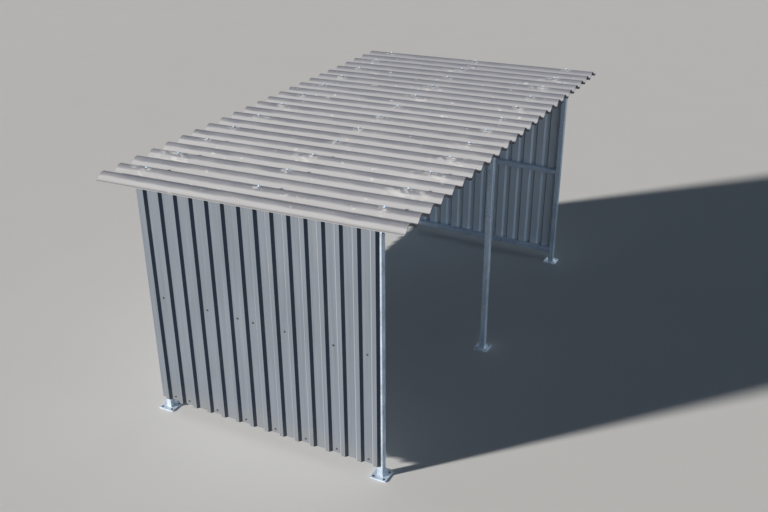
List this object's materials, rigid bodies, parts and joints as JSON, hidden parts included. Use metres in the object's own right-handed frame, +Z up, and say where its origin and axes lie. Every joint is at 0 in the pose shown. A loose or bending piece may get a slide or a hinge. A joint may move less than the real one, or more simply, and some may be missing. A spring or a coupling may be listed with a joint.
{
  "type": "bike shelter",
  "caption": "Open-fronted bike shelter: galvanised tube frame on base plates, ribbed steel walls on both ends and the back, corrugated single-fall roof.",
  "frame": {"origin": "on the ground under the middle of the roof", "axes": "+X along the length, the open front faces -Y, +Z up"},
  "size_m": [4.2734, 2.5, 2.1899],
  "materials": {
    "galvanised_steel": "dull zinc coating with weather marks",
    "wall_sheet": "blue-grey coated steel, weathered",
    "roof_board": "fibre cement, rough and stained"
  },
  "bodies": {
    "root": {"back_left_base_plate": "galvanised_steel", "back_left_post": "galvanised_steel", "back_middle_base_plate": "galvanised_steel", "back_middle_post": "galvanised_steel", "back_purlin": "galvanised_steel", "back_right_base_plate": "galvanised_steel", "back_right_post": "galvanised_steel", "back_wall_left_bottom_rail": "galvanised_steel", "back_wall_left_middle_rail": "galvanised_steel", "back_wall_right_bottom_rail": "galvanised_steel", "back_wall_right_middle_rail": "galvanised_steel", "back_wall_sheet_1": "wall_sheet", "back_wall_sheet_2": "wall_sheet", "back_wall_sheet_3": "wall_sheet", "back_wall_sheet_4": "wall_sheet", "front_left_base_plate": "galvanised_steel", "front_left_post": "galvanised_steel", "front_middle_base_plate": "galvanised_steel", "front_middle_post": "galvanised_steel", "front_purlin": "galvanised_steel", "front_right_base_plate": "galvanised_steel", "front_right_post": "galvanised_steel", "left_rafter": "galvanised_steel", "left_wall_bottom_rail": "galvanised_steel", "left_wall_middle_rail": "galvanised_steel", "left_wall_sheet_1": "wall_sheet", "left_wall_sheet_2": "wall_sheet", "middle_purlin": "galvanised_steel", "middle_rafter": "galvanised_steel", "right_rafter": "galvanised_steel", "right_wall_bottom_rail": "galvanised_steel", "right_wall_middle_rail": "galvanised_steel", "right_wall_sheet_1": "wall_sheet", "right_wall_sheet_2": "wall_sheet", "roof_sheet_1": "roof_board", "roof_sheet_2": "roof_board", "roof_sheet_3": "roof_board", "roof_sheet_4": "roof_board"}
  },
  "joints": []
}
